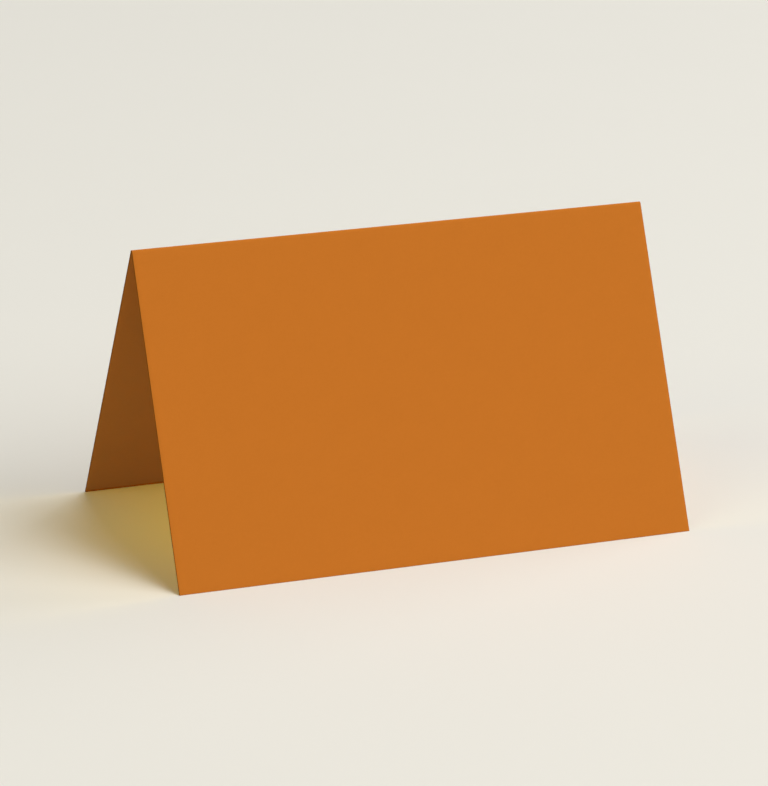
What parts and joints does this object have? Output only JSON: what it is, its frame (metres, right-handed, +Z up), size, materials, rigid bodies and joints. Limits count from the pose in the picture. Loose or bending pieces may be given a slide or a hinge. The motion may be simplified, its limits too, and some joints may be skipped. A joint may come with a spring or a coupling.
{
  "type": "place card",
  "caption": "Blank tent-fold place card of orange card stock, creased along its middle so that it stands on its cut edges and shows a name.",
  "frame": {"origin": "on the table, half way along the card and half way between its panels", "axes": "+X along the fold, -Y out of the front panel's side, +Z up"},
  "size_m": [0.09, 0.0494, 0.0503],
  "materials": {
    "card_stock": "uncoated, dyed through, matt"
  },
  "bodies": {
    "root": {"folded_card": "card_stock"}
  },
  "joints": []
}
